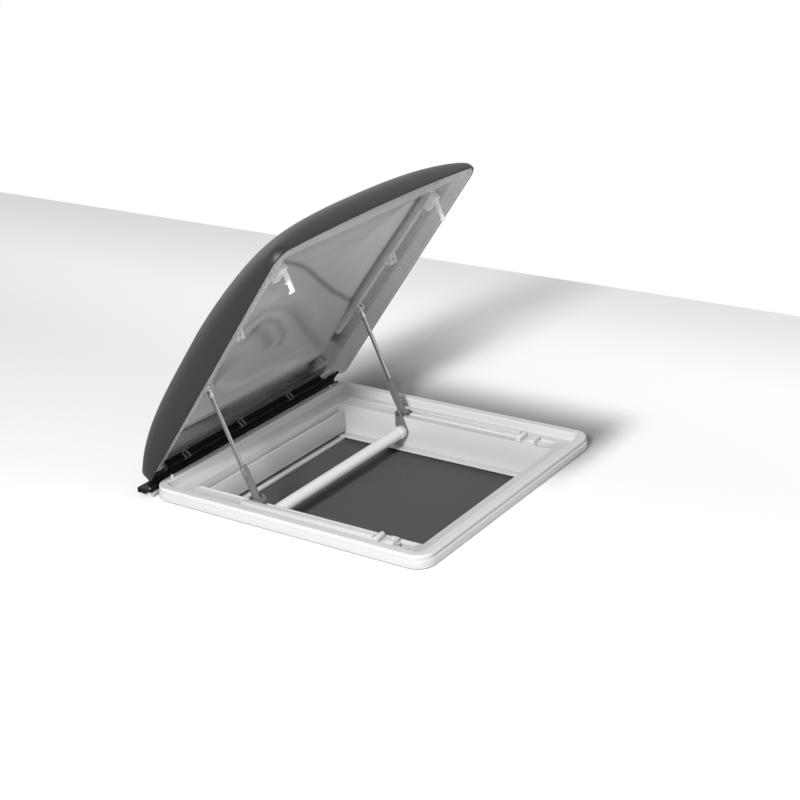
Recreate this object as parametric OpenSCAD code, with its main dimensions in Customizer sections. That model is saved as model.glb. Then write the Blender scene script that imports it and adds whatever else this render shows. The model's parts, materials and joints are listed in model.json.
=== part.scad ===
// Caravan roof vent: a hinged double-skin dome on a white roof frame, held open by
// two rods whose feet slide in side rails and carry a bow handle. Insect screen and
// blackout blind run in tracks below. Millimetres, +Z up.
// Origin: middle of the roof cut-out, on the roof surface. The hinge is at +Y, the
// opening edge at -Y, left is -X. Lid pieces are drawn closed and turned by lid_open.

/* [Lid position] */
// How far the lid stands open, degrees
lid_open = 54.1; // [0:0.1:54.1]
// How far the bow handle swings from the upright below its pivots, degrees
bow_swing = -10.8; // [-45:0.1:45]

/* [Roof frame] */
// Half width of the well
well_hx = 186.5; // [180:0.5:187]
// Half length of the well
well_hy = 211.5; // [205:0.5:212]
// Width of the ledge at each side of the well
ledge_side_w = 44.5; // [44:0.5:46]
// Width of the ledge at each end of the well
ledge_end_w = 27; // [26.5:0.5:28]
// Shift of the lip towards the hinge
lip_dy = 0.5; // [0:0.5:0.5]
// Inner corner radius of the lip
lip_r = 12; // [8:0.5:16]
// Width of the lip
lip_w = 15; // [14:0.5:16]
// How far the lower band stands out past the lip
band_out = 1.5; // [0.5:0.1:2]
// Height of the top of the lower band
band_top = 14; // [12.5:0.5:15]
// Height where the lip seal sits
lip_seat = 17.5; // [16:0.5:18]
// Height of the top of the lip seal
lip_top = 22.3; // [21:0.1:22.5]
// Wall thickness of the lip and band
skin = 3; // [2:0.25:3.5]
// Gasket thickness under the frame
gasket_t = 2; // [1:0.25:3]
// Height of the inner ledge
ledge_z = 8; // [7.5:0.25:9]
// Corner radius of the well
well_r = 3; // [2:0.5:4]
// Thickness of the well wall
well_t = 3; // [2:0.25:3.5]
// Depth of the foot of the well wall below the roof surface
well_foot = 46; // [44:0.5:50]
// Gap between the well wall and the roof cut-out
cut_gap = 10.5; // [10.5:0.5:12]
// Corner radius of the roof cut-out
cut_r = 12; // [8:0.5:14]
// Thickness of the roof
roof_t = 42; // [36:0.5:42]

/* [Hinge] */
// Hinge axis, distance behind the well
hinge_back = 46.5; // [46.5:0.25:48]
// Hinge axis, height over the roof
hinge_z = 16.5; // [16:0.25:18]
// Radius of the hinge pin
hinge_pin_r = 1.8; // [1.5:0.1:2]
// Outer radius of the knuckles
knuckle_r = 3.5; // [3.2:0.1:3.6]
// Number of knuckles, base and lid together
knuckle_n = 15; // [9:2:19]
// How far the hinge ends short of the dome rim
hinge_inset = 12; // [11.5:0.5:14]

/* [Stays] */
// Stay centre line, distance out from the well
stay_out = 11.5; // [11:0.25:12]
// Length between the two pivots of a stay
stay_len = 188.6; // [186:0.1:190]
// Upper pivot, distance from the hinge along the lid
top_pivot_s = 194.8; // [192:0.1:196]
// Upper pivot, height over the hinge with the lid closed
top_pivot_u = 20.6; // [19:0.1:21]
// Height of the lower pivot over the roof
foot_pivot_z = 13.9; // [13.5:0.1:14.5]
// Radius of the stay rod
rod_r = 3.5; // [3:0.25:4]
// Radius of the pivot pins
pin_r = 2; // [1.5:0.1:2.2]
// Radial clearance of a pin in its bore
fit_gap = 0.05; // [0.02:0.01:0.1]
// Width of an eye on a pivot pin
eye_w = 6; // [5:0.25:6.5]

/* [Rails] */
// Inner face of the rail, distance out from the well
rail_out = 16.5; // [16.25:0.25:18]
// Width of the rail
rail_w = 11; // [9:0.5:11.5]
// Height of the rail bed over the roof
bed_z = 6.5; // [5:0.25:6.75]
// Height of the top of the rail
rail_top = 15.6; // [15.3:0.1:16]
// Rear end of the rail, distance from the hinge
rail_rear_s = 155; // [140:1:157]
// Free height of the groove in the rail
groove_h = 5.4; // [5.2:0.1:5.6]

/* [Bow] */
// Radius of the bow tube
bow_r = 10; // [8:0.25:11]
// Distance from the pivot to the tube
bow_drop = 32.2; // [28:0.5:36]
// How far the tube ends short of the well wall
bow_short = 15.5; // [13.5:0.5:20]

/* [Lid] */
// How far the dome rim stands out past the inside of the lip
rim_out = 28; // [26:0.5:30]
// Rear edge of the dome rim, distance from the hinge
rim_s0 = 5.7; // [5.5:0.1:8]
// Front edge of the dome rim at its corners, distance in front of the well
rim_front = 55; // [53:0.5:60]
// How far the front edge bows outward in the middle
rim_bow = 12; // [0:0.5:16]
// Corner radius of the dome rim
rim_r = 30; // [25:1:40]
// Height of the rim over the hinge
rim_u = 1.3; // [0.5:0.1:2.5]
// Height of the dome over its rim
dome_h = 96.4; // [80:0.5:110]
// Thickness of the dome
dome_t = 4; // [3:0.25:5]
// Rear edge of the inner pane, distance from the hinge
pane_s0 = 27; // [27:0.5:28]
// Thickness of the inner pane and of the lid rim
pane_t = 2.6; // [2:0.1:3]
// Height of the crown of the inner pane over the rails
pane_crown = 12; // [6:0.5:16]
// Rear end of a lid rail, distance from the hinge
lid_rail_s0 = 124.5; // [120:0.5:130]
// Width of a lid rail
lid_rail_w = 13; // [12.8:0.1:13.2]
// Height of a lid rail
lid_rail_h = 8; // [7:0.25:9]

/* [Ceiling frame and screens] */
// How far the ceiling frame stands out past the well, at each side
ceil_side_w = 45.5; // [44:0.5:50]
// How far the ceiling frame stands out past the well, at each end
ceil_end_w = 46.5; // [44:0.5:50]
// Depth of the ceiling frame's face below the roof surface
ceil_foot = 75; // [74:0.5:80]
// Wall thickness of the ceiling frame
ceil_t = 3; // [2:0.25:3.5]
// Radius of the ceiling screw holes
screw_hole_r = 2.2; // [2:0.1:2.5]
// Distance of the ceiling screw holes from the edge of the frame
screw_edge = 19; // [17:0.5:20]
// How far the rear cover panel stands in front of the well wall
cover_off = 12.2; // [10:0.1:14]
// Height of the top of the rear cover panel over the roof
cover_top = -1.2; // [-4:0.2:2]
// Height of the middle of the insect screen bar
screen_z = -50; // [-51:0.25:-49.75]
// Height of the middle of the blind bar
blind_z = -62; // [-63:0.25:-61.75]
// Thickness of the screen and blind bars
bar_t = 4.4; // [3:0.1:4.6]
// Width of the screen bar
screen_bar_w = 18; // [14:0.5:20]
// Width of the blind bar
blind_bar_w = 16; // [12:0.5:18]
// Thickness of the screen and blind sheets
sheet_t = 0.8; // [0.4:0.1:1]

/* [Hidden] */
$fn = 48;
// Running gap between pieces that slide on each other
slide_gap = 0.3;
// Overlap that joins shapes of one piece
eps = 0.01;

// Plan of the frame, outward from the well, and of the lid, forward from the hinge
wall_hx = well_hx + well_t;
wall_hy = well_hy + well_t;
cut_hx = wall_hx + cut_gap;
cut_hy = wall_hy + cut_gap;
lip_hx = well_hx + ledge_side_w;
lip_hy = well_hy + ledge_end_w;
hinge_y = well_hy + hinge_back;
rim_hx = lip_hx + rim_out;
rim_s1 = hinge_y + well_hy + rim_front;
pane_hx = rim_hx - 33;
pane_s1 = rim_s1 - 21.5;
lid_rail_s1 = rim_s1 - 57.5;
stay_x = well_hx + stay_out;
rail_x = well_hx + rail_out;
rail_rear = hinge_y - rail_rear_s;
rail_front = hinge_y - lid_rail_s1 + 68;
bow_half = well_hx - bow_short;
rim_ledge = 2.1;
bed_x0 = well_hx + rim_ledge;
bed_x1 = rail_x + rail_w + 2;
bed_half_y = well_hy - 6.5;
// Pocket in the ledge that the closed latch hook drops into
pocket_x0 = stay_x - 7.5;
pocket_x1 = cut_hx + 0.5;
pocket_y0 = hinge_y - lid_rail_s1 + 8;
pocket_y1 = hinge_y - lid_rail_s1 + 32;
pocket_floor = 4;

// Clamp plates hook under the roof, one screw each in a boss on the well wall
clamp_w = 18;
clamp_t = 3;
clamp_reach = 22;
clamp_y = well_hy * 0.52;
clamp_x = well_hx * 0.48;
boss_r = 4.6;
boss_off = 5.1;
clamp_screw_r = 2;
clamp_head_r = 4;
clamp_head_h = 3.5;
clamp_screw_len = 26;

// Linkage, worked out so that the foot pivot stays level at both ends
top_y = hinge_y - top_pivot_s * cos(lid_open) + top_pivot_u * sin(lid_open);
top_z = hinge_z + top_pivot_s * sin(lid_open) + top_pivot_u * cos(lid_open);
foot_y = top_y - sqrt(stay_len * stay_len - (top_z - foot_pivot_z) * (top_z - foot_pivot_z));
stay_angle = asin((top_z - foot_pivot_z) / stay_len);

// Eyes and ears on the pivots
eye_r = 5.5;
foot_eye_r = 4;
foot_x = stay_x - 2.6;
ear_t = 2.9;
ear_gap = 0.4;
ear_r = 4.2;
foot_ear_in = foot_x - eye_w / 2 - ear_gap - ear_t;
foot_ear_out = foot_x + eye_w / 2 + ear_gap;
foot_len = 56;
foot_t = 5.6;
foot_half = 6;
socket_r = rod_r + 1.3;
socket_len = 14;

// Rail groove and the tongue of the carriage
groove_top = rail_top - 1.3;
groove_bottom = groove_top - groove_h;
groove_depth = 8;
tongue_t = 1.7;
tongue_top = groove_top - slide_gap;
tongue_out = 7.3;
tongue_half = 12.5;

// Catch block and latch hook
catch_y0 = hinge_y - lid_rail_s1 + 33.5;
catch_y1 = catch_y0 + 12.5;
catch_top = 13.4;
catch_x0 = stay_x - 5.5;
stop_len = 9;
hook_x0 = stay_x - 5;
hook_x1 = stay_x;
// Latch block under the front of a lid rail, and the screw that holds it
latch_x0 = hook_x0 - 2;
latch_x1 = hook_x1 + 6;
latch_screw_x = (latch_x0 + latch_x1) / 2;
latch_screw_s = lid_rail_s1 - 22;
latch_screw_r = 1.5;
latch_u = 8.4;

// Hinge
knuckle_gap = 0.4;
hinge_half = rim_hx - hinge_inset;
knuckle_pitch = 2 * hinge_half / knuckle_n;
hinge_bore_r = hinge_pin_r + fit_gap;
base_top = hinge_z - knuckle_r - 0.4;
base_t = 3;
base_y1 = hinge_y + 27;
lid_plate_u = 6.6;
lid_plate_t = 2.6;
lid_plate_s1 = 24;
lid_shelf_u = 20;
lid_shelf_t = 2.4;
lid_shelf_s1 = 41;
lid_plate_hx = rim_hx - 16;

// Pegs on the lip
peg_x = lip_hx - 23;
peg_y = lip_hy + 6.5;
peg_r = 2.4;
rear_peg_top = 28;
front_peg_x = lip_hx - 8;
front_peg_y = -lip_hy - 8.5;
front_peg_top = 22.9;

// Underside of the lid rails falls a little towards the front
rail_u0 = 28.4;
rail_fall = 0.0245;
rail_tilt = atan(rail_fall);
function rail_u(s) = rail_u0 - rail_fall * (s - lid_rail_s0);
function rail_seat_u(s) = rail_u(s) + lid_rail_h / cos(rail_tilt);

// Lid rim flange and the pane on it
flange_in_hx = rim_hx - 43;
flange_knee_hx = rim_hx - 31;
flange_gap = 0.6;
flange_top_in = 0.9;
flange_out_hx = rim_hx - dome_t - flange_gap;
flange_out_u = 5;
flange_s0 = lid_plate_s1 + 1;
// The dome's rear corner begins here; behind it the flange draws in by the tuck
flange_turn_s = rim_s0 + rim_r;
flange_tuck = 2.8;
flange_s1 = rim_s1 - dome_t - flange_gap;
flange_knee_s1 = rim_s1 - 19.5;
flange_in_s1 = rim_s1 - 31.5;
function flange_u(s) = 14.6 - 0.012 * (s - pane_s0);
function pane_flange_u(s) = flange_u(s) + pane_t;

// Ceiling frame; its collar is square inside for the cassette and the tracks
ceil_hx = well_hx + ceil_side_w;
ceil_hy = well_hy + ceil_end_w;
room_hx = well_hx - 15.5;
room_hy = well_hy - 21.5;
screw_x = ceil_hx - screw_edge;
screw_y = ceil_hy - screw_edge;
ceil_r = 20;
collar_x0 = well_hx + 0.5;
collar_t = 2;
collar_r = 0.5;
track_x1 = collar_x0 - 0.2;
track_slot_x = room_hx + 10;
// Half heights of a track slot, on the free side of a bar and on the side of its sheet
bar_side = 2.5;
sheet_side = 3.6;
sheet_drop = bar_t / 2 + slide_gap + sheet_t / 2;
sheet_hx = room_hx + 9;
bar_hx = room_hx + 7;
ceil_floor = -ceil_foot + ceil_t;
cassette_y0 = -well_hy + 0.2;
cassette_y1 = -well_hy + 22.5;
cassette_t = 1.5;
roller_y = cassette_y0 + 11.3;
roller_z = screen_z - sheet_drop;
roller_r = 3.6;
screen_bar_y1 = well_hy - 0.3;
brush_w = 11;
brush_t = 1.6;
blind_bar_y0 = cassette_y1 + 0.6;
strip_y0 = well_hy - 14.5;

white = "white";
dark = [0.22, 0.22, 0.23];
grey = [0.45, 0.45, 0.46];
steel = "silver";

// Plane figure: rectangle with true round corners
module rrect(hx, hy, r) {
    square([2 * hx, 2 * (hy - r)], center = true);
    square([2 * (hx - r), 2 * hy], center = true);
    for (mx = [-1, 1], my = [-1, 1]) translate([mx * (hx - r), my * (hy - r)]) circle(r);
}

// Plane figure: band between two rounded rectangles
module ring(hx, hy, r, w) {
    difference() {
        rrect(hx + w, hy + w, r + w);
        rrect(hx, hy, r);
    }
}

// Runs a profile (x outward, y up) round a rounded rectangle
module swept(hx, hy, r) {
    for (m = [0, 1]) mirror([m, 0, 0])
        translate([hx, hy - r, 0]) rotate([90, 0, 0]) linear_extrude(2 * (hy - r)) children();
    for (m = [0, 1]) mirror([0, m, 0])
        translate([-(hx - r), hy, 0]) rotate([90, 0, 90]) linear_extrude(2 * (hx - r)) children();
    for (mx = [0, 1], my = [0, 1]) mirror([mx, 0, 0]) mirror([0, my, 0])
        translate([hx - r, hy - r, 0]) rotate_extrude(angle = 90, $fn = 64)
            translate([r, 0]) children();
}

// Box between two corners
module block(a, b) {
    translate(a) cube(b - a);
}

// Cylinder along X between two places
module pin_x(x0, x1, y, z, r) {
    translate([x0, y, z]) rotate([0, 90, 0]) cylinder(h = x1 - x0, r = r);
}

// Draws the right-hand piece, or its mirror image on the left
module on_side(side) {
    mirror([side < 0 ? 1 : 0, 0, 0]) children();
}

// Places lid pieces: x across, -y along the lid from the hinge, z over the hinge
module at_lid() {
    translate([0, hinge_y, hinge_z]) rotate([-lid_open, 0, 0]) children();
}

// Places a stay: z runs from its foot pivot to its top pivot
module at_stay() {
    translate([0, foot_y, foot_pivot_z]) rotate([stay_angle - 90, 0, 0]) children();
}

// Places bow pieces: origin on the pivots, tube straight below
module at_bow() {
    translate([0, foot_y, foot_pivot_z]) rotate([bow_swing, 0, 0]) children();
}

// Side clamp positions as [place, turn about Z, half size of the well there]
clamps = [for (y = [-clamp_y, clamp_y]) [[0, y], 0, wall_hx],
    for (y = [-clamp_y, clamp_y]) [[0, y], 180, wall_hx],
    for (x = [-clamp_x, clamp_x]) [[x, 0], 90, wall_hy],
    for (x = [-clamp_x, clamp_x]) [[x, 0], 270, wall_hy]];
module at_clamps() {
    for (c = clamps) translate(c[0]) rotate([0, 0, c[1]]) translate([c[2], 0, 0]) children();
}

module band_profile() {
    round_r = 2.5;
    out = lip_w + band_out;
    difference() {
        union() {
            translate([0, gasket_t]) square([out, band_top - gasket_t - round_r]);
            translate([0, gasket_t]) square([out - round_r, band_top - gasket_t]);
            translate([out - round_r, band_top - round_r]) circle(round_r);
            translate([0, gasket_t]) square([lip_w - band_out, lip_seat - gasket_t]);
        }
        translate([skin + 0.5, 0]) square([out - 2 * skin - 1.5, band_top - 2.5]);
    }
}

module roof_frame() {
    color(white) difference() {
        union() {
            translate([0, lip_dy, 0]) swept(lip_hx, lip_hy, lip_r) band_profile();
            translate([0, lip_dy, gasket_t]) linear_extrude(ledge_z - gasket_t)
                rrect(lip_hx + skin, lip_hy + skin, lip_r + skin);
            translate([0, 0, -well_foot]) linear_extrude(well_foot + ledge_z)
                rrect(wall_hx, wall_hy, well_r + well_t);
            at_clamps() {
                translate([boss_off, 0, 0.5 - roof_t]) cylinder(h = roof_t + 2, r = boss_r);
                block([-1, -boss_r / 2, 0.5 - roof_t], [boss_off, boss_r / 2, gasket_t + 1]);
            }
        }
        translate([0, 0, -well_foot - 1]) linear_extrude(well_foot + ledge_z + 2)
            rrect(well_hx, well_hy, well_r);
        at_clamps() translate([boss_off, 0, -roof_t - 1])
            cylinder(h = clamp_screw_len + 2, r = clamp_screw_r + fit_gap);
        for (side = [-1, 1]) on_side(side) {
            block([bed_x0, -bed_half_y, bed_z], [bed_x1, bed_half_y, ledge_z + 1]);
            block([pocket_x0, pocket_y0, -1], [pocket_x1, pocket_y1, ledge_z]);
            block([pocket_x1 - eps, pocket_y0, pocket_floor], [bed_x1, pocket_y1, ledge_z]);
        }
    }
}

module roof_gasket() {
    gasket_inset = 2;
    cut_clear = 2;
    out_hx = lip_hx + lip_w + band_out - gasket_inset;
    out_hy = lip_hy + lip_w + band_out - gasket_inset;
    color(dark) linear_extrude(gasket_t) difference() {
        translate([0, lip_dy]) rrect(out_hx, out_hy, lip_r + lip_w);
        rrect(cut_hx + cut_clear, cut_hy + cut_clear, cut_r);
    }
}

module lip_seal() {
    round_r = 2.3;
    color(white) difference() {
        translate([0, lip_dy, 0]) swept(lip_hx, lip_hy, lip_r) {
            translate([0, lip_seat]) square([lip_w, lip_top - lip_seat - round_r]);
            translate([round_r, lip_seat]) square([lip_w - 2 * round_r, lip_top - lip_seat]);
            for (x = [round_r, lip_w - round_r]) translate([x, lip_top - round_r]) circle(round_r);
        }
        at_pegs() translate([0, 0, lip_seat - 1]) cylinder(h = 9, r = peg_r + fit_gap);
    }
}

module at_pegs() {
    for (m = [-1, 1]) {
        translate([m * peg_x, peg_y, 0]) children();
        translate([m * front_peg_x, front_peg_y, 0]) children();
    }
}

module corner_pegs() {
    color(white) for (m = [-1, 1]) {
        translate([m * peg_x, peg_y, lip_seat]) cylinder(h = rear_peg_top - peg_r - lip_seat, r = peg_r);
        translate([m * peg_x, peg_y, rear_peg_top - peg_r]) sphere(peg_r, $fn = 32);
        translate([m * front_peg_x, front_peg_y, lip_seat])
            cylinder(h = front_peg_top - lip_seat, r = peg_r);
    }
}

// Every second knuckle, from the left end, starting at first
module knuckles(first) {
    for (i = [first:2:knuckle_n - 1]) translate([-hinge_half + i * knuckle_pitch, 0, 0])
        rotate([0, 90, 0]) cylinder(h = knuckle_pitch - knuckle_gap, r = knuckle_r);
}

module hinge_base() {
    prong_y = [hinge_y + 13, base_y1 - 5];
    prong_t = 5;
    prong_foot = 4.5;
    plate_y0 = lip_dy + lip_hy + lip_w + band_out;
    web_t = 4;
    color(dark) difference() {
        union() {
            translate([0, hinge_y, hinge_z]) knuckles(0);
            for (i = [0:2:knuckle_n - 1]) block(
                [-hinge_half + i * knuckle_pitch, hinge_y - web_t / 2, base_top - base_t],
                [-hinge_half + (i + 1) * knuckle_pitch - knuckle_gap, hinge_y + web_t / 2, hinge_z]);
            block([-hinge_half, plate_y0, base_top - base_t], [hinge_half, base_y1, base_top]);
            for (y = prong_y)
                block([-hinge_half, y, prong_foot], [hinge_half, y + prong_t, base_top - eps]);
        }
        pin_x(-hinge_half - 1, hinge_half + 1, hinge_y, hinge_z, hinge_bore_r);
    }
}

module hinge_pin() {
    color(steel) pin_x(-hinge_half, hinge_half - knuckle_gap, hinge_y, hinge_z, hinge_pin_r);
}

module hinge_end_blocks() {
    block_x1 = hinge_half - 4;
    block_w = 18;
    y0 = lip_dy + lip_hy + lip_w + band_out;
    for (side = [-1, 1]) on_side(side) color(grey)
        block([block_x1 - block_w, y0, 0], [block_x1, y0 + 6, base_top - base_t]);
}

module guide_rail(side) {
    web = rail_w - groove_depth;
    color(white) on_side(side) {
        block([rail_x, rail_front, bed_z], [rail_x + rail_w, rail_rear, groove_bottom]);
        block([rail_x, rail_front, groove_top], [rail_x + rail_w, rail_rear, rail_top]);
        block([rail_x + rail_w - web, rail_front, groove_bottom - eps],
            [rail_x + rail_w, rail_rear, groove_top + eps]);
    }
}

module rail_stop(side) {
    hump_r = 4.5;
    color(white) on_side(side) {
        block([catch_x0, rail_front - stop_len, bed_z], [rail_x + rail_w, rail_front, rail_top - hump_r]);
        pin_x(catch_x0, rail_x + rail_w, rail_front - hump_r, rail_top + 0.4 - hump_r, hump_r);
    }
}

module catch_block(side) {
    color(white) on_side(side) difference() {
        union() {
            block([catch_x0, catch_y0, bed_z], [rail_x + rail_w - 3, catch_y1, catch_top]);
            block([catch_x0, catch_y0, bed_z], [rail_x + rail_w - 3, catch_y1 + 8, bed_z + 3]);
        }
        translate([(catch_x0 + rail_x) / 2 + 3, (catch_y0 + catch_y1) / 2, bed_z + 2])
            cylinder(h = 10, r = 2);
    }
}

module rear_fascia() {
    plate_t = 2;
    half = well_hx - 1.2;
    foot = 5 - well_foot;
    nose = 6;
    y0 = well_hy - cover_off;
    color(white) {
        translate([0, y0 + plate_t, 0]) rotate([90, 0, 0]) linear_extrude(plate_t)
            polygon([[-half, foot], [half, foot], [half, cover_top - nose], [half - nose, cover_top],
                [nose - half, cover_top], [-half, cover_top - nose]]);
        for (k = [-0.84, -0.42, 0, 0.42, 0.84]) translate([k * half, 0, 0])
            block([-1, y0 + plate_t - eps, foot + 4], [1, well_hy, cover_top - 12]);
    }
}

module ceiling_frame() {
    post_r = 5.5;
    color(white) difference() {
        union() {
            translate([0, 0, -ceil_foot]) linear_extrude(ceil_t) rrect(ceil_hx, ceil_hy, ceil_r);
            translate([0, 0, -ceil_foot]) linear_extrude(ceil_foot - roof_t)
                ring(ceil_hx - ceil_t, ceil_hy - ceil_t, ceil_r - ceil_t, ceil_t);
            translate([0, 0, -ceil_foot]) linear_extrude(ceil_foot - well_foot)
                ring(collar_x0, well_hy + 0.5, collar_r, collar_t);
            for (mx = [-1, 1], my = [-1, 1]) translate([mx * screw_x, my * screw_y, -ceil_foot])
                cylinder(h = ceil_foot - roof_t - 0.5, r = post_r);
        }
        translate([0, 0, -ceil_foot - 1]) linear_extrude(ceil_t + 2) rrect(room_hx, room_hy, 4);
        for (mx = [-1, 1], my = [-1, 1])
            translate([mx * screw_x, my * screw_y, -ceil_foot - 1])
                cylinder(h = ceil_foot, r = screw_hole_r);
    }
}

module clamp_plates() {
    color(steel) at_clamps() difference() {
        block([0.6, -clamp_w / 2, -roof_t - clamp_t], [clamp_reach + boss_off, clamp_w / 2, -roof_t]);
        translate([boss_off, 0, -roof_t - clamp_t - 1]) cylinder(h = clamp_t + 2, r = clamp_screw_r + fit_gap);
    }
}

module clamp_screws() {
    color(steel) at_clamps() translate([boss_off, 0, -roof_t - clamp_t]) {
        translate([0, 0, -clamp_head_h]) cylinder(h = clamp_head_h, r = clamp_head_r);
        translate([0, 0, -eps]) cylinder(h = clamp_screw_len + eps, r = clamp_screw_r);
    }
}

module track(side) {
    color(white) on_side(side) difference() {
        block([room_hx, cassette_y1 + 0.3, ceil_floor], [track_x1, well_hy, -well_foot]);
        block([room_hx - 1, -well_hy, screen_z - sheet_side],
            [track_slot_x, well_hy + 1, screen_z + bar_side]);
        block([room_hx - 1, -well_hy, blind_z - bar_side],
            [track_slot_x, well_hy + 1, blind_z + sheet_side]);
    }
}

module screen_cassette() {
    z0 = roller_z - roller_r - 2.1;
    half = well_hx - 0.2;
    slot_z0 = screen_z - sheet_side;
    slot_z1 = screen_z + bar_side;
    color(white) difference() {
        block([-half, cassette_y0, z0], [half, cassette_y1, -well_foot]);
        block([-half + cassette_t, cassette_y0 + cassette_t, z0 + cassette_t],
            [half - cassette_t, cassette_y1 - cassette_t, -well_foot - cassette_t]);
        block([-track_slot_x, roller_y, slot_z0], [track_slot_x, cassette_y1 + 1, slot_z1]);
    }
}

module screen_roller() {
    half = well_hx - 0.2 - cassette_t;
    color(steel) pin_x(-half, half, roller_y, roller_z, roller_r);
}

module insect_screen() {
    y0 = roller_y + roller_r + slide_gap;
    y1 = screen_bar_y1 - 4;
    color(dark) translate([0, 0, screen_z - sheet_drop])
        block([-sheet_hx, y0, -sheet_t / 2], [sheet_hx, y1, sheet_t / 2]);
}

module screen_bar() {
    color(white) block([-bar_hx, screen_bar_y1 - screen_bar_w, screen_z - bar_t / 2],
        [bar_hx, screen_bar_y1, screen_z + bar_t / 2]);
}

module screen_bar_brush() {
    half = room_hx - 0.6;
    color([0.5, 0.48, 0.46]) block([-half, screen_bar_y1 - brush_w, screen_z + bar_t / 2],
        [half, screen_bar_y1, screen_z + bar_t / 2 + brush_t]);
}

module blind_end_strip() {
    half = room_hx - 0.3;
    color(white) block([-half, strip_y0, ceil_floor], [half, well_hy, blind_z + sheet_side]);
}

module blackout_blind() {
    color([0.8, 0.8, 0.78]) translate([0, 0, blind_z + sheet_drop])
        block([-sheet_hx, blind_bar_y0 + 4, -sheet_t / 2], [sheet_hx, strip_y0, sheet_t / 2]);
}

module blind_bar() {
    color(white) block([-bar_hx, blind_bar_y0, blind_z - bar_t / 2],
        [bar_hx, blind_bar_y0 + blind_bar_w, blind_z + bar_t / 2]);
}

module blind_bar_grip() {
    grip_half = 30;
    grip_w = 3;
    grip_z = -ceil_foot + 2;
    color(white) block([-grip_half, blind_bar_y0, grip_z],
        [grip_half, blind_bar_y0 + grip_w, blind_z - bar_t / 2]);
}

// Points of the rim seen from above, counter-clockwise from the front right corner,
// [x, distance from the hinge]; side_n points on each straight, arc_n on each corner
arc_n = 8;
side_n = 9;
function bow_at(x, hx, bow) = bow * (1 - (x / hx) * (x / hx));
function arc(cx, cy, r, a0) = [for (i = [0:arc_n]) let (a = a0 + 90 * i / arc_n)
    [cx + r * cos(a), cy + r * sin(a)]];
function run(a, b) = [for (i = [1:side_n - 1]) a + (b - a) * i / side_n];
function plan_raw(hx, s0, s1, rf, rr) = concat(
    arc(hx - rf, s1 - rf, rf, 0), run([hx - rf, s1], [rf - hx, s1]),
    arc(rf - hx, s1 - rf, rf, 90), run([-hx, s1 - rf], [-hx, s0 + rr]),
    arc(rr - hx, s0 + rr, rr, 180), run([rr - hx, s0], [hx - rr, s0]),
    arc(hx - rr, s0 + rr, rr, 270), run([hx, s0 + rr], [hx, s1 - rf]));
function plan(hx, s0, s1, rf, rr, bow) = [for (p = plan_raw(hx, s0, s1, rf, rr))
    p[1] > (s0 + s1) / 2 ? [p[0], p[1] + bow_at(p[0], hx, bow)] : p];

// Skin from two stacks of loops (outer side, then inner side) that share one rim
function band_faces(a, b, n) = [for (i = [0:n - 1]) each [
    [a + i, b + i, b + (i + 1) % n], [a + i, b + (i + 1) % n, a + (i + 1) % n]]];
function cap_faces(a, c, n) = [for (i = [0:n - 1]) [a + i, c, a + (i + 1) % n]];
module skin_shell(outer, outer_top, inner, inner_top) {
    n = len(outer[0]);
    m = len(outer);
    pts = concat([for (l = outer) each l], [for (l = inner) each l], [outer_top, inner_top]);
    up = [for (k = [0:m - 2]) each band_faces(k * n, (k + 1) * n, n)];
    down = [for (k = [0:m - 2]) each
        [for (f = band_faces((m + k) * n, (m + k + 1) * n, n)) [f[0], f[2], f[1]]]];
    rim = [for (f = band_faces(0, m * n, n)) [f[0], f[2], f[1]]];
    top = cap_faces((m - 1) * n, 2 * m * n, n);
    under = [for (f = cap_faces((2 * m - 1) * n, 2 * m * n + 1, n)) [f[0], f[2], f[1]]];
    polyhedron(points = pts, faces = concat(up, down, rim, top, under), convexity = 6);
}

// Crown of the dome at a place, for a skin with half width hx and half length hl
rings = [1, 0.997, 0.985, 0.96, 0.925, 0.88, 0.82, 0.74, 0.64, 0.52, 0.38, 0.2];
rim_mid = (rim_s0 + rim_s1) / 2;
function crown(x, s, hx, hl, h) = let (u = min(1, abs(x / hx)), v = s - rim_mid,
        f = min(1, max(0, v / (hl + bow_at(x, hx, rim_bow)))), r = min(1, max(0, -v / hl)))
    h * pow((1 - pow(u, 2.9)) * (1 - pow(f, 1.5)) * (1 - pow(r, 4.53)), 0.37);
function smooth(t) = let (c = min(1, max(0, t))) c * c * (3 - 2 * c);
// The rear edge sits on the hinge profile, the rest of the rim hangs lower
function edge_u(x, s) = rim_u + (lid_plate_u + lid_plate_t - rim_u)
    * smooth((rim_hx - 2 - abs(x)) / 11) * smooth((60 - s) / 20);
function dome_point(p, k, hx, hl, h) = let (x = p[0] * k, s = rim_mid + (p[1] - rim_mid) * k)
    [x, -s, rim_u + (edge_u(p[0], p[1]) - rim_u) * pow(k, 60)
        + (k < 1 ? crown(x, s, hx, hl, h) * pow(1 - pow(k, 120), 0.2) : 0)];
function dome_loop(k, t) = let (hl = (rim_s1 - rim_s0) / 2 - t,
        plan_pts = plan(rim_hx - t, rim_s0 + t, rim_s1 - t, rim_r - t, rim_r - t, rim_bow))
    [for (p = plan_pts) dome_point(p, k, rim_hx - t, hl, dome_h - t)];

module outer_dome() {
    color([0.3, 0.3, 0.32, 0.6]) at_lid() skin_shell(
        [for (k = rings) dome_loop(k, 0)], [0, -rim_mid, rim_u + dome_h],
        [for (k = rings) dome_loop(k, dome_t)], [0, -rim_mid, rim_u + dome_h - dome_t]);
}

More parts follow.
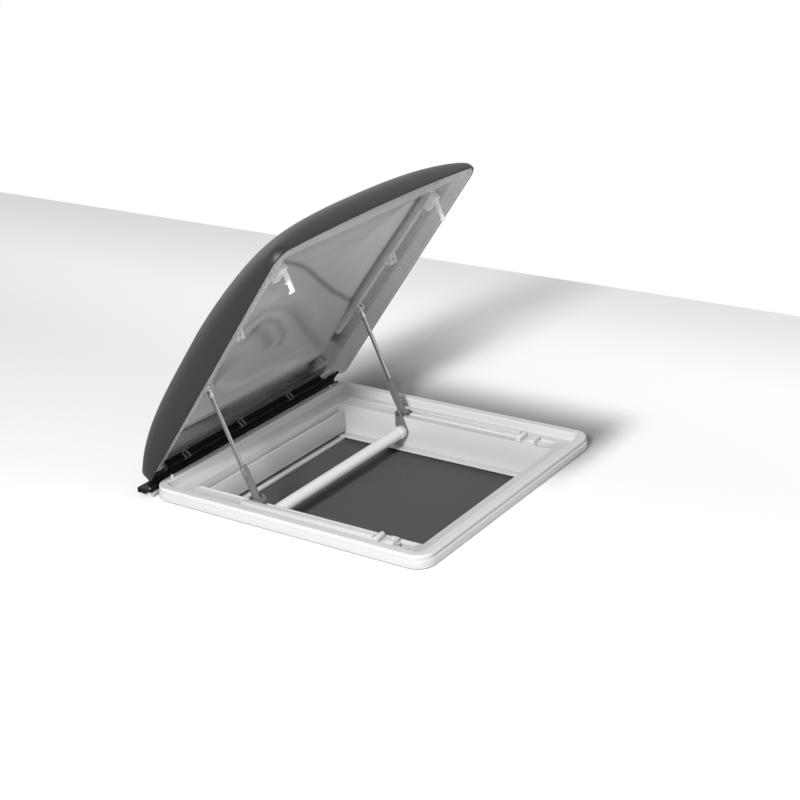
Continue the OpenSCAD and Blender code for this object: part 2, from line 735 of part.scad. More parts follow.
// Inner pane: flat flange, a step up to the seats of the lid rails, a low crown
pane_mid = (pane_s0 + pane_s1) / 2;
pane_steps = [[0, 0, 0], [16, 0, 0], [20, 1, 0], [36, 1, 0], [52, 1, 0.35],
    [80, 1, 0.68], [120, 1, 0.9], [170, 1, 1]];
function pane_u(s, step, rise) = let (low = pane_flange_u(s), high = rail_seat_u(s))
    low + (high - low) * step + pane_crown * rise;
function pane_loop(row, lift) = let (d = row[0], r = max(4, 24 - d))
    [for (p = plan(pane_hx - d, pane_s0 + d, pane_s1 - d, r, r, 0))
        [p[0], -p[1], pane_u(p[1], row[1], row[2]) + lift]];
module inner_pane() {
    crown_u = pane_u(pane_mid, 1, 1);
    color([0.6, 0.6, 0.63, 0.6]) at_lid() skin_shell(
        [for (row = pane_steps) pane_loop(row, pane_t)], [0, -pane_mid, crown_u + pane_t],
        [for (row = pane_steps) pane_loop(row, 0)], [0, -pane_mid, crown_u]);
}

// Rim flange of the lid: an open U of four-sided sections from rear left to rear right
function u_path(hx, s1, r, bow, tuck = 0) = let (
        side_run = s1 - r - flange_turn_s,
        side = concat([[hx - tuck, flange_s0]],
            [for (i = [0:side_n - 1]) [hx, flange_turn_s + side_run * i / (side_n - 1)]]),
        right = concat(side, [for (i = [1:arc_n]) let (a = 90 * i / arc_n)
            [hx - r + r * cos(a), s1 - r + r * sin(a)]]),
        front = run([hx - r, s1], [r - hx, s1]),
        left = [for (i = [len(right) - 1:-1:0]) [-right[i][0], right[i][1]]],
        all = concat(right, front, left))
    [for (p = all) p[1] > rim_mid ? [p[0], p[1] + bow_at(p[0], hx, bow)] : p];
module lid_rim() {
    outer_r = rim_r - dome_t;
    outer = u_path(flange_out_hx, flange_s1, outer_r, rim_bow, flange_tuck);
    knee = u_path(flange_knee_hx, flange_knee_s1, 16, 2);
    inner = u_path(flange_in_hx, flange_in_s1, 10, 0);
    n = len(outer);
    inset = u_path(flange_out_hx - flange_top_in, flange_s1 - flange_top_in, outer_r, rim_bow,
        flange_tuck);
    shelf = [for (p = concat(knee, inner)) [p[0], -p[1], flange_u(p[1])]];
    low = concat([for (p = outer) [p[0], -p[1], flange_out_u]], shelf);
    high = concat([for (p = inset) [p[0], -p[1], flange_out_u + pane_t]],
        [for (p = shelf) p + [0, 0, pane_t]]);
    m = 3 * n;
    quad = function (a, b, c, d) [[a, b, c], [a, c, d]];
    strip = function (a, b) [for (i = [0:n - 2]) each quad(a + i, a + i + 1, b + i + 1, b + i)];
    ends = concat(
        [[0, n, m], [n, m + n, m], [n, 2 * n, m + n], [2 * n, m + 2 * n, m + n]],
        [[n - 1, m + n - 1, 2 * n - 1], [m + n - 1, m + 2 * n - 1, 2 * n - 1],
        [2 * n - 1, m + 2 * n - 1, 3 * n - 1], [m + 2 * n - 1, m + 3 * n - 1, 3 * n - 1]]);
    color([0.5, 0.5, 0.53, 0.6]) at_lid() polyhedron(points = concat(low, high), convexity = 6,
        faces = concat(strip(0, n), strip(n, 2 * n), strip(m + n, m), strip(m + 2 * n, m + n),
            strip(m, 0), strip(2 * n, m + 2 * n), ends));
}

module lid_hinge_profile() {
    web_t = 5;
    shelf_web_s = 17;
    shelf_half = flange_in_hx - 4;
    notch_hw = 4.5;
    color(dark) at_lid() difference() {
        union() {
            knuckles(1);
            for (i = [1:2:knuckle_n - 1]) block([-hinge_half + i * knuckle_pitch, -web_t / 2, 0],
                [-hinge_half + (i + 1) * knuckle_pitch - knuckle_gap, web_t / 2, lid_plate_u + 1]);
            block([-lid_plate_hx, -web_t / 2, knuckle_r + knuckle_gap],
                [lid_plate_hx, web_t / 2, lid_plate_u + 1]);
            block([-lid_plate_hx, -lid_plate_s1, lid_plate_u],
                [lid_plate_hx, knuckle_r, lid_plate_u + lid_plate_t]);
            block([-shelf_half, -shelf_web_s - lid_plate_t, lid_plate_u],
                [shelf_half, -shelf_web_s, lid_shelf_u + lid_shelf_t]);
            block([-shelf_half, -lid_shelf_s1, lid_shelf_u + eps],
                [shelf_half, -shelf_web_s, lid_shelf_u + lid_shelf_t]);
        }
        pin_x(-hinge_half - 1, hinge_half + 1, 0, 0, hinge_bore_r);
        for (m = [-1, 1]) block([m * peg_x - notch_hw, -lid_plate_s1 - 1, lid_plate_u - 1],
            [m * peg_x + notch_hw, -5, lid_shelf_u]);
    }
}

module pane_clips() {
    clip_x = [-0.75 * pane_hx, -0.13 * pane_hx, 0.44 * pane_hx];
    strip_w = 3;
    strip_gap = 9;
    clip_t = 1.6;
    clip_grip = 6;
    low_grip = 4;
    top_u = flange_u(pane_s0) + pane_t - 0.1;
    color([0.75, 0.75, 0.78, 0.6]) at_lid() for (x = clip_x, dx = [0, strip_gap]) {
        block([x + dx, -lid_plate_s1 - clip_t, lid_plate_u - clip_t],
            [x + dx + strip_w, low_grip - lid_plate_s1, lid_plate_u]);
        block([x + dx, -lid_plate_s1 - clip_t, lid_plate_u - clip_t],
            [x + dx + strip_w, -lid_plate_s1, top_u]);
        block([x + dx, -pane_s0 - clip_grip, top_u - clip_t],
            [x + dx + strip_w, -lid_plate_s1, top_u]);
    }
}

// Tilted frame of a lid rail: x across, y back to the hinge, z up from its underside
module at_rail(s) {
    translate([0, -s, rail_u(s)]) rotate([rail_tilt, 0, 0]) children();
}

module lid_rail(side) {
    rail_len = (lid_rail_s1 - lid_rail_s0) / cos(rail_tilt);
    x0 = stay_x - lid_rail_w / 2;
    ear_x = [stay_x - eye_w / 2 - ear_gap - ear_t, stay_x + eye_w / 2 + ear_gap];
    color(white) at_lid() on_side(side) difference() {
        union() {
            at_rail(lid_rail_s1) block([x0, 0, 0], [x0 + lid_rail_w, rail_len, lid_rail_h]);
            for (x = ear_x) {
                pin_x(x, x + ear_t, -top_pivot_s, top_pivot_u, eye_r);
                block([x, -top_pivot_s - eye_r, top_pivot_u],
                    [x + ear_t, -top_pivot_s + eye_r, rail_u(top_pivot_s) + 1]);
            }
        }
        pin_x(x0 - 1, x0 + lid_rail_w + 1, -top_pivot_s, top_pivot_u, pin_r + fit_gap);
        translate([latch_screw_x, -latch_screw_s, rail_u(latch_screw_s) - 1])
            cylinder(h = 7, r = latch_screw_r + fit_gap);
    }
}

module stay_top_pins() {
    x0 = stay_x - eye_w / 2 - ear_gap - ear_t;
    x1 = stay_x + eye_w / 2 + ear_gap + ear_t;
    for (side = [-1, 1]) color(steel) at_lid() on_side(side)
        pin_x(x0, x1, -top_pivot_s, top_pivot_u, pin_r);
}

module mid_hook(side) {
    hook_t = 2;
    tip_s = lid_rail_s1 - 154.6;
    tip_u = 11.2;
    root_w = 12;
    color(white) at_lid() on_side(side)
        for (x = [stay_x - lid_rail_w / 2, stay_x + lid_rail_w / 2 - hook_t]) difference() {
            hull() {
                pin_x(x, x + hook_t, -tip_s, tip_u + 2.5, 2.5);
                at_rail(tip_s) block([x, -root_w, -0.4], [x + hook_t, root_w, -0.02]);
            }
            pin_x(x - 1, x + hook_t + 1, -tip_s, tip_u + 9, 2.4);
        }
}

module latch_bracket(side) {
    block_s0 = lid_rail_s1 - 31;
    block_s1 = lid_rail_s1 - 1;
    tip_s = lid_rail_s1 - 23;
    tip_u = -18.2;
    tip_r = 2.5;
    root_s = lid_rail_s1 - 6;
    root_u = latch_u + 3;
    tooth = 6;
    color(white) at_lid() on_side(side) {
        difference() {
            block([latch_x0, -block_s1, latch_u], [latch_x1, -block_s0, rail_u(block_s1)]);
            translate([latch_screw_x, -latch_screw_s, latch_u - 1]) cylinder(h = 6, r = 3.2);
            translate([latch_screw_x, -latch_screw_s, latch_u]) cylinder(h = 30, r = latch_screw_r + 0.1);
        }
        hull() for (p = [[root_s, root_u, 3.6], [tip_s, tip_u, tip_r]])
            pin_x(hook_x0, hook_x1, -p[0], p[1], p[2]);
        for (k = [0, 0.42]) let (s = tip_s + (root_s - tip_s) * k, u = tip_u + (root_u - tip_u) * k)
            hull() for (d = [0, tooth]) pin_x(hook_x0, hook_x1, -s + d, u + d / 4, d == 0 ? 2.2 : 1.2);
    }
}

module latch_screws() {
    color(steel) for (side = [-1, 1]) at_lid() on_side(side)
        translate([latch_screw_x, -latch_screw_s, latch_u + 2.5]) {
            difference() {
                cylinder(h = 2.5, r = 2.9);
                translate([0, 0, -1]) cylinder(h = 2.2, r = 1.2, $fn = 6);
            }
            translate([0, 0, 1.5]) cylinder(h = 12.5, r = latch_screw_r);
        }
}

module stay_rod(side) {
    rod_top = stay_len - eye_r - 2;
    color(steel) at_stay() on_side(side) translate([stay_x, 0, foot_len - socket_len])
        cylinder(h = rod_top - foot_len + socket_len, r = rod_r);
}

module stay_top_end(side) {
    end_r = rod_r + 0.8;
    color(steel) at_stay() on_side(side) difference() {
        union() {
            pin_x(stay_x - eye_w / 2, stay_x + eye_w / 2, 0, stay_len, eye_r - 0.6);
            translate([stay_x, 0, stay_len - eye_r - 11]) cylinder(h = 10, r = end_r);
            block([stay_x - eye_w / 2, 2 - eye_r, stay_len - eye_r - 2],
                [stay_x + eye_w / 2, eye_r - 2, stay_len]);
        }
        pin_x(0, 2 * stay_x, 0, stay_len, pin_r + fit_gap);
        translate([stay_x, 0, stay_len - eye_r - 12]) cylinder(h = 10, r = rod_r + fit_gap);
    }
}

module stay_foot(side) {
    x0 = foot_x - foot_t / 2;
    neck = 16;
    color(grey) at_stay() on_side(side) difference() {
        union() {
            pin_x(foot_x - eye_w / 2, foot_x + eye_w / 2, 0, 0, foot_eye_r);
            hull() {
                pin_x(x0, x0 + foot_t, 0, 0, foot_eye_r - 0.5);
                block([x0, -foot_half, neck], [x0 + foot_t, foot_half, neck + 1]);
            }
            block([x0, -foot_half, neck], [x0 + foot_t, foot_half, foot_len - 4]);
            translate([stay_x, 0, foot_len - socket_len - 2]) cylinder(h = socket_len + 2, r = socket_r);
            block([x0 + 1, -foot_half, foot_len - socket_len], [x0 + foot_t, -socket_r + 2, foot_len + 3]);
        }
        pin_x(0, 2 * stay_x, 0, 0, pin_r + fit_gap);
        translate([stay_x, 0, foot_len - socket_len]) cylinder(h = socket_len + 4, r = rod_r + fit_gap);
    }
}

module carriage(side) {
    bridge_y0 = -13;
    bridge_y1 = -foot_eye_r - 1.2;
    bridge_z0 = -1.6;
    bridge_z1 = 3.2;
    out_x1 = rail_x - slide_gap;
    tongue_z1 = tongue_top - foot_pivot_z;
    color(grey) translate([0, foot_y, foot_pivot_z]) on_side(side) difference() {
        union() {
            pin_x(foot_ear_in, foot_ear_in + ear_t, 0, 0, ear_r);
            pin_x(foot_ear_out, out_x1, 0, 0, ear_r);
            block([foot_ear_in, bridge_y0, bridge_z0], [foot_ear_in + ear_t, 0, bridge_z1]);
            block([foot_ear_out, bridge_y0, bridge_z0], [out_x1, tongue_half, tongue_z1 + 2]);
            block([foot_ear_in, bridge_y0, bridge_z0], [out_x1, bridge_y1, bridge_z1]);
            block([out_x1 - eps, -tongue_half, tongue_z1 - tongue_t], [out_x1 + tongue_out, tongue_half, tongue_z1]);
        }
        pin_x(0, out_x1 - 1, 0, 0, pin_r + fit_gap);
    }
}

module carriage_pin(side) {
    head_r = 3.4;
    head_t = 1.6;
    x0 = well_hx - 4.1;
    color(steel) translate([0, foot_y, foot_pivot_z]) on_side(side) {
        pin_x(x0, rail_x - slide_gap - 1, 0, 0, pin_r);
        pin_x(x0 - head_t, x0, 0, 0, head_r);
    }
}

// Bow pieces: the bracket hangs inside the well on the inner end of the carriage pin
bracket_x0 = well_hx - 3.9;
bracket_x1 = well_hx - 0.5;
module bow_bracket(side) {
    hub_r = 6;
    color(grey) at_bow() on_side(side) difference() {
        hull() {
            pin_x(bracket_x0, bracket_x1, 0, 0, hub_r);
            pin_x(bracket_x0, bracket_x1, 0, -bow_drop, bow_r + 2);
        }
        pin_x(bracket_x0 - 1, bracket_x1 + 1, 0, 0, pin_r + fit_gap);
    }
}

module bow_tube() {
    wall = 1.5;
    color(white) at_bow() difference() {
        pin_x(-bow_half, bow_half, 0, -bow_drop, bow_r);
        pin_x(-bow_half - 1, bow_half + 1, 0, -bow_drop, bow_r - wall);
    }
}

module bow_collars() {
    plug_len = 12;
    lip = 1.4;
    for (side = [-1, 1]) color([0.85, 0.85, 0.86]) at_bow() on_side(side) {
        pin_x(bow_half, bracket_x0, 0, -bow_drop, bow_r + lip);
        pin_x(bow_half - plug_len, bow_half + eps, 0, -bow_drop, bow_r - 1.5 - fit_gap);
    }
}

roof_frame();
roof_gasket();
lip_seal();
hinge_base();
hinge_pin();
guide_rail(-1);  // guide_rail_left
guide_rail(1);  // guide_rail_right
rail_stop(-1);  // rail_stop_left
rail_stop(1);  // rail_stop_right
catch_block(-1);  // catch_block_left
catch_block(1);  // catch_block_right
rear_fascia();
corner_pegs();
hinge_end_blocks();
ceiling_frame();
clamp_plates();
clamp_screws();
track(-1);  // track_left
track(1);  // track_right
screen_cassette();
screen_roller();
insect_screen();
blind_end_strip();
blackout_blind();
screen_bar();
screen_bar_brush();
blind_bar();
blind_bar_grip();
outer_dome();
inner_pane();
lid_rim();
lid_hinge_profile();
pane_clips();
lid_rail(-1);  // lid_rail_left
lid_rail(1);  // lid_rail_right
mid_hook(-1);  // mid_hook_left
mid_hook(1);  // mid_hook_right
latch_bracket(-1);  // latch_bracket_left
latch_bracket(1);  // latch_bracket_right
latch_screws();
stay_top_pins();
stay_rod(-1);  // stay_rod_left
stay_rod(1);  // stay_rod_right
stay_top_end(-1);  // stay_top_end_left
stay_top_end(1);  // stay_top_end_right
stay_foot(-1);  // stay_foot_left
stay_foot(1);  // stay_foot_right
carriage(-1);  // carriage_left
carriage(1);  // carriage_right
carriage_pin(-1);  // carriage_pin_left
carriage_pin(1);  // carriage_pin_right
bow_tube();
bow_collars();
bow_bracket(-1);  // bow_bracket_left
bow_bracket(1);  // bow_bracket_right
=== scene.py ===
"""Looks of the caravan roof vent: the lid's two smoked skins, the white roof frame with its seal,
the polished stays, the bow handle and the screen and blind below, in a plain studio.
Metres, +Z up, origin in the middle of the roof cut-out, hinge at +Y."""
import json
import math

import bpy
from mathutils import Matrix, Vector, noise

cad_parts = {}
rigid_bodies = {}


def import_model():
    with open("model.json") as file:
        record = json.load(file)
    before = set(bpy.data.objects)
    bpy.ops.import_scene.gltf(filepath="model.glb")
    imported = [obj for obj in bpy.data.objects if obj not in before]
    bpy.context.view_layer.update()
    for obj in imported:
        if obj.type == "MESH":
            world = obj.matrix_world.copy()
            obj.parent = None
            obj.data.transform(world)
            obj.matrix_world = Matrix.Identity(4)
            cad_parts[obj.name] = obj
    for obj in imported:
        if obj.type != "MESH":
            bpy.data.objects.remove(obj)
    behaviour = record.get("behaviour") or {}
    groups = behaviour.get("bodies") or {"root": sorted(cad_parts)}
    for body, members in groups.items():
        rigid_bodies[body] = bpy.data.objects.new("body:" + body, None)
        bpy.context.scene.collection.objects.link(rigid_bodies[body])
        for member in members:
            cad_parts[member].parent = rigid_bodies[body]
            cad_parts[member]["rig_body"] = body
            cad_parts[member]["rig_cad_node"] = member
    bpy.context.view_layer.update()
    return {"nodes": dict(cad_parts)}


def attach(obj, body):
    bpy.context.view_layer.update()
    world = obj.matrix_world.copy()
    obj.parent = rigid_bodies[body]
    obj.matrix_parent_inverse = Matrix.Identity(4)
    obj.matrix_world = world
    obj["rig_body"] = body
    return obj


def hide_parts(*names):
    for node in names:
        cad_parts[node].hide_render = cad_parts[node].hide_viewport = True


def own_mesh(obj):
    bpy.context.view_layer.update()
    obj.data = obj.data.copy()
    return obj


MM = 0.001
TINY = 1e-6
HINGE = Vector((0, 0.258, 0.0165))
LID_OPEN = math.radians(54.1)

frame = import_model()
nodes = frame["nodes"]


# Nodes of a world or a finish

WHITE = (1, 1, 1, 1)
# Sockets of a Mix node that mixes colours
MIX_SHARE, MIX_FIRST, MIX_SECOND, MIX_RESULT = 0, 6, 7, 2


def new_finish(name):
    """An empty finish, its nodes and its shader."""
    finish = bpy.data.materials.new(name)
    finish.use_nodes = True
    tree = finish.node_tree
    return finish, tree, tree.nodes["Principled BSDF"]


def feed(tree, value, socket):
    """Links what varies to a socket, or sets a plain value on it."""
    if isinstance(value, bpy.types.NodeSocket):
        tree.links.new(value, socket)
    else:
        socket.default_value = value


def reckoned(tree, operation, *values, clamp=False):
    """One sum on sockets and numbers."""
    node = tree.nodes.new("ShaderNodeMath")
    node.operation = operation
    node.use_clamp = clamp
    for value, socket in zip(values, node.inputs):
        feed(tree, value, socket)
    return node.outputs[0]


def product(tree, a, b):
    return reckoned(tree, "MULTIPLY", a, b)


def rest_of(tree, a):
    return reckoned(tree, "SUBTRACT", 1, a)


def ramp(tree, value, x0, x1, y0, y1):
    """A soft change from y0 to y1 while the value goes from x0 to x1."""
    node = tree.nodes.new("ShaderNodeMapRange")
    node.interpolation_type = "SMOOTHSTEP"
    for label, number in (("From Min", x0), ("From Max", x1), ("To Min", y0), ("To Max", y1)):
        node.inputs[label].default_value = number
    tree.links.new(value, node.inputs["Value"])
    return node.outputs[0]


def mixed(tree, share, first, second):
    """A colour between two."""
    node = tree.nodes.new("ShaderNodeMix")
    node.data_type = "RGBA"
    for value, index in ((share, MIX_SHARE), (first, MIX_FIRST), (second, MIX_SECOND)):
        feed(tree, value, node.inputs[index])
    return node.outputs[MIX_RESULT]


def object_place(tree):
    return tree.nodes.new("ShaderNodeTexCoord").outputs["Object"]


def clouds(tree, place, scale, detail, distortion=0.0):
    """Soft unevenness, from 0 to 1."""
    node = tree.nodes.new("ShaderNodeTexNoise")
    node.inputs["Detail"].default_value = detail
    node.inputs["Distortion"].default_value = distortion
    tree.links.new(place, node.inputs["Vector"])
    feed(tree, scale, node.inputs["Scale"])
    return node.outputs["Fac"]


def waves(tree, place, direction, pitch):
    """Even bands across a direction, from 0 to 1."""
    node = tree.nodes.new("ShaderNodeTexWave")
    node.bands_direction = direction
    tree.links.new(place, node.inputs["Vector"])
    tree.links.new(pitch, node.inputs["Scale"])
    return node.outputs["Fac"]


# Operators on one piece

# Steps in a rounded edge
EDGE_STEPS = 2


def only(piece):
    """Selects one piece alone, for the operators."""
    if bpy.context.object and bpy.context.object.mode != "OBJECT":
        bpy.ops.object.mode_set(mode="OBJECT")
    bpy.ops.object.select_all(action="DESELECT")
    piece.select_set(True)
    bpy.context.view_layer.objects.active = piece


def open_mesh(piece):
    """Opens one piece for editing, with all of it selected."""
    only(piece)
    bpy.ops.object.mode_set(mode="EDIT")
    bpy.ops.mesh.select_all(action="SELECT")


def close_mesh():
    bpy.ops.object.mode_set(mode="OBJECT")


def apply_all(piece):
    only(piece)
    for modifier in list(piece.modifiers):
        bpy.ops.object.modifier_apply(modifier=modifier.name)


def give_wall(piece, thickness, side, inner_finish=0):
    """Thickens a skin to one side of its faces (-1 or 1) or to both (0)."""
    wall = piece.modifiers.new("wall", "SOLIDIFY")
    wall.thickness = thickness * MM
    wall.offset = side
    wall.material_offset = inner_finish
    apply_all(piece)


def round_edges(piece, radius, sharp):
    """Rounds the edges that turn by more than an angle in degrees."""
    edge = piece.modifiers.new("edge", "BEVEL")
    edge.width = radius
    edge.segments = EDGE_STEPS
    edge.limit_method = "ANGLE"
    edge.angle_limit = math.radians(sharp)
    apply_all(piece)


def shade_smooth(piece, sharp):
    only(piece)
    bpy.ops.object.shade_smooth_by_angle(angle=math.radians(sharp))


def unit_grid(name, across, along):
    """A flat grid from -1 to 1, to be carried to its place point by point."""
    bpy.ops.object.select_all(action="DESELECT")
    bpy.ops.mesh.primitive_grid_add(x_subdivisions=across, y_subdivisions=along, size=2)
    piece = bpy.context.object
    piece.name = name
    return piece


# Camera and studio

CAMERA_PLACE = (-1.9512, -1.4437, 1.1214)
CAMERA_AZIMUTH, CAMERA_ELEVATION, CAMERA_ROLL = -54.511, 22.417, -3.25
CAMERA_LENS, CAMERA_REACH = 75.74, 50

# Name, place, point that it faces, width and height in metres, watts
LAMPS = (
    ("key_lamp", (-3.16, -0.82, 2.2), (0, 0, 0.1), 0.6, 0.6, 162),
    ("fill_lamp", (0.9, -3.4, 1.1), (0, 0, 0.2), 2.6, 1.2, 20),
)
# Strength of the white surround where it lights the vent, and where it is seen
SURROUND_LIGHT, SURROUND_SEEN = 0.27, 1.0

# Half sizes of the cut-out in the floor, and the lines of the floor's grid
CUT_HX, CUT_HY = 0.2, 0.225
FLOOR_XS = (-7.0, -CUT_HX, CUT_HX, 0.96)
FLOOR_YS = (-7.0, -CUT_HY, CUT_HY, 7.0)
FLOOR_ROUGH = 0.7
# Soft shadows painted on the floor, beside the frame and under the lid: depth, where they fade out
# across, and where they come in and go out along the frame
PAINTED_SHADOWS = (
    (0.78, (0.27, 0.43), (-0.31, -0.225), (0.2, 0.32)),
    (0.6, (0.3, 0.75), (0.11, 0.19), (0.24, 0.33)),
)
# Where across the frame the painted shadows begin
PAINTED_SHADOWS_START = (0.02, 0.22)
# The floor's white from the vent to the floor's far edge: where it changes, and its two values
FLOOR_WHITE = (0.58, 0.98, 0.96, 0.77)
# The same for the light of its own that the floor shows to the camera
FLOOR_GLOW = (0.15, 0.6, 0.12, 0.24)
# Share of its white that the floor throws back at the vent
FLOOR_BOUNCE = 0.8


def set_camera():
    """Stands the camera at the photograph's viewing angle, with its slight roll."""
    az, el = math.radians(CAMERA_AZIMUTH), math.radians(CAMERA_ELEVATION)
    roll = math.radians(CAMERA_ROLL)
    back = Vector((math.sin(az) * math.cos(el), -math.cos(az) * math.cos(el), math.sin(el)))
    side = (-back).cross(Vector((0, 0, 1))).normalized()
    top = side.cross(-back)
    right = side * math.cos(roll) + top * math.sin(roll)
    up = top * math.cos(roll) - side * math.sin(roll)
    turn = Matrix((right, up, back)).transposed().to_4x4()
    bpy.ops.object.camera_add()
    camera = bpy.context.object
    camera.name = "camera"
    camera.data.lens = CAMERA_LENS
    camera.data.clip_end = CAMERA_REACH
    camera.matrix_world = Matrix.Translation(CAMERA_PLACE) @ turn
    bpy.context.scene.camera = camera


def soft_lamp(name, place, aim, width, height, watts):
    bpy.ops.object.light_add(type="AREA", location=place)
    lamp = bpy.context.object
    lamp.name = name
    lamp.data.shape = "RECTANGLE"
    lamp.data.size, lamp.data.size_y = width, height
    lamp.data.energy = watts
    lamp.rotation_euler = (Vector(aim) - Vector(place)).to_track_quat("-Z", "Y").to_euler()


def light_studio():
    for lamp in LAMPS:
        soft_lamp(*lamp)
    world = bpy.data.worlds.new("white_surround")
    bpy.context.scene.world = world
    world.use_nodes = True
    tree = world.node_tree
    rays = tree.nodes.new("ShaderNodeLightPath").outputs
    looked_at = reckoned(tree, "MAXIMUM", rays["Is Camera Ray"], rays["Is Glossy Ray"])
    seen = reckoned(tree, "MAXIMUM", looked_at, rays["Is Transmission Ray"])
    back = tree.nodes["Background"]
    feed(tree, ramp(tree, seen, 0, 1, SURROUND_LIGHT, SURROUND_SEEN), back.inputs["Strength"])
    back.inputs["Color"].default_value = WHITE


def left_by_painted_shadow(tree, x, y, started, depth, fade, coming, going):
    """Share of the floor's white that one painted shadow leaves."""
    along = product(tree, ramp(tree, y, *coming, 0, 1), ramp(tree, y, *going, 1, 0))
    shade = product(tree, ramp(tree, x, *fade, depth, 0), along)
    return rest_of(tree, product(tree, shade, started))


def make_floor_finish():
    finish, tree, shader = new_finish("white_floor")
    shader.inputs["Roughness"].default_value = FLOOR_ROUGH
    apart = tree.nodes.new("ShaderNodeSeparateXYZ")
    tree.links.new(object_place(tree), apart.inputs[0])
    x, y = apart.outputs["X"], apart.outputs["Y"]
    started = ramp(tree, x, *PAINTED_SHADOWS_START, 0, 1)
    # What the painted shadows leave of the floor's white, for its colour and its own light alike
    painted_lit_share = product(tree, *(left_by_painted_shadow(tree, x, y, started, *shade) for shade in PAINTED_SHADOWS))
    seen = tree.nodes.new("ShaderNodeLightPath").outputs["Is Camera Ray"]
    white = product(tree, ramp(tree, x, *FLOOR_WHITE), ramp(tree, seen, 0, 1, FLOOR_BOUNCE, 1))
    glow = product(tree, seen, product(tree, painted_lit_share, ramp(tree, x, *FLOOR_GLOW)))
    tree.links.new(product(tree, painted_lit_share, white), shader.inputs["Base Color"])
    shader.inputs["Emission Color"].default_value = WHITE
    tree.links.new(glow, shader.inputs["Emission Strength"])
    return finish


def lay_floor():
    """The roof surface that the flange lies on, with the cut-out for the well, in white with
    painted shadows.
    """
    floor = unit_grid("floor", len(FLOOR_XS) - 1, len(FLOOR_YS) - 1)
    for v in floor.data.vertices:
        column = round((v.co.x + 1) / 2 * (len(FLOOR_XS) - 1))
        row = round((v.co.y + 1) / 2 * (len(FLOOR_YS) - 1))
        v.co = (FLOOR_XS[column], FLOOR_YS[row], 0)
    bpy.ops.object.mode_set(mode="EDIT")
    bpy.ops.mesh.select_mode(type="FACE")
    bpy.ops.mesh.select_all(action="DESELECT")
    close_mesh()
    for f in floor.data.polygons:
        f.select = abs(f.center.x) < CUT_HX and abs(f.center.y) < CUT_HY
    bpy.ops.object.mode_set(mode="EDIT")
    bpy.ops.mesh.delete(type="FACE")
    close_mesh()
    floor.data.materials.append(make_floor_finish())


# Finishes

FLOAT, COLOUR = "NodeSocketFloat", "NodeSocketColor"
# Size of the soft clouds on a moulding, and what its mottle darkens towards
CLOUD_SCALE = 9
MOTTLE_DARK = (0.02, 0.02, 0.02, 1)
# Depths of the moulding skin and of the lid rails' ribs, in metres
SKIN_DEPTH, RIB_DEPTH = 0.0004, 0.0009
COAT_ROUGH, SHEET_COAT, SHEET_COAT_ROUGH, CLOTH_SHEEN = 0.12, 0.3, 0.05, 0.15


def group_of(name, inputs, outputs):
    """An empty shader group with its sockets, and the two ends to link them from and to."""
    group = bpy.data.node_groups.new(name, "ShaderNodeTree")
    for label, kind, value in inputs:
        socket = group.interface.new_socket(label, in_out="INPUT", socket_type=kind)
        socket.default_value = value
    for label, kind in outputs:
        group.interface.new_socket(label, in_out="OUTPUT", socket_type=kind)
    start = group.nodes.new("NodeGroupInput")
    return group, start.outputs, group.nodes.new("NodeGroupOutput").inputs


def make_moulding_group():
    """Fine skin and soft unevenness of moulded or drawn surfaces."""
    group, start, end = group_of(
        "moulding_skin",
        [("Colour", COLOUR, (0.8, 0.8, 0.8, 1)), ("Mottle", FLOAT, 0.03),
         ("Roughness", FLOAT, 0.35), ("Rough Spread", FLOAT, 0.08),
         ("Grain Size", FLOAT, 1500), ("Grain Depth", FLOAT, 0.1)],
        [("Colour", COLOUR), ("Roughness", FLOAT), ("Height", FLOAT)])
    place = object_place(group)
    cloud = clouds(group, place, CLOUD_SCALE, detail=4)
    grain = clouds(group, place, start["Grain Size"], detail=2)
    darker = mixed(group, product(group, cloud, start["Mottle"]), start["Colour"], MOTTLE_DARK)
    rough = reckoned(group, "MULTIPLY_ADD", cloud, start["Rough Spread"], start["Roughness"])
    feed(group, darker, end["Colour"])
    feed(group, rough, end["Roughness"])
    feed(group, product(group, grain, start["Grain Depth"]), end["Height"])
    return group


def make_tone_group():
    """Lighter and darker places of a formed clear sheet, from the tone painted on the piece, which
    carries its painted reflections and shade.
    """
    group, start, end = group_of(
        "sheet_tone",
        [("Tone", FLOAT, 0.8), ("Light", COLOUR, (0.7, 0.7, 0.7, 1)),
         ("Dark", COLOUR, (0.05, 0.05, 0.05, 1)), ("Drift", FLOAT, 0.1), ("Scale", FLOAT, 3.0)],
        [("Colour", COLOUR), ("Height", FLOAT)])
    flow = clouds(group, object_place(group), start["Scale"], detail=2, distortion=1.2)
    centred = reckoned(group, "SUBTRACT", flow, 0.5)
    share = reckoned(group, "MULTIPLY_ADD", centred, start["Drift"], start["Tone"], clamp=True)
    feed(group, mixed(group, share, start["Dark"], start["Light"]), end["Colour"])
    feed(group, flow, end["Height"])
    return group


def make_rib_group():
    """Fine ribs across a lid rail, as a height."""
    group, start, end = group_of("cross_ribs", [("Pitch", FLOAT, 200)], [("Height", FLOAT)])
    turn = group.nodes.new("ShaderNodeMapping")
    turn.inputs["Rotation"].default_value = (LID_OPEN, 0, 0)
    feed(group, object_place(group), turn.inputs["Vector"])
    feed(group, waves(group, turn.outputs["Vector"], "Y", start["Pitch"]), end["Height"])
    return group


def make_weave_group():
    """Crossed threads of a fine net or cloth, as their colour and height."""
    group, start, end = group_of(
        "plain_weave",
        [("Thread", COLOUR, (0.05, 0.05, 0.05, 1)), ("Hole", COLOUR, (0.01, 0.01, 0.01, 1)),
         ("Pitch", FLOAT, 900)],
        [("Colour", COLOUR), ("Height", FLOAT)])
    place = object_place(group)
    threads = [waves(group, place, direction, start["Pitch"]) for direction in ("X", "Y")]
    over = reckoned(group, "MAXIMUM", *threads)
    feed(group, mixed(group, over, start["Hole"], start["Thread"]), end["Colour"])
    feed(group, over, end["Height"])
    return group


moulding_skin = make_moulding_group()
sheet_tone = make_tone_group()
cross_ribs = make_rib_group()
plain_weave = make_weave_group()


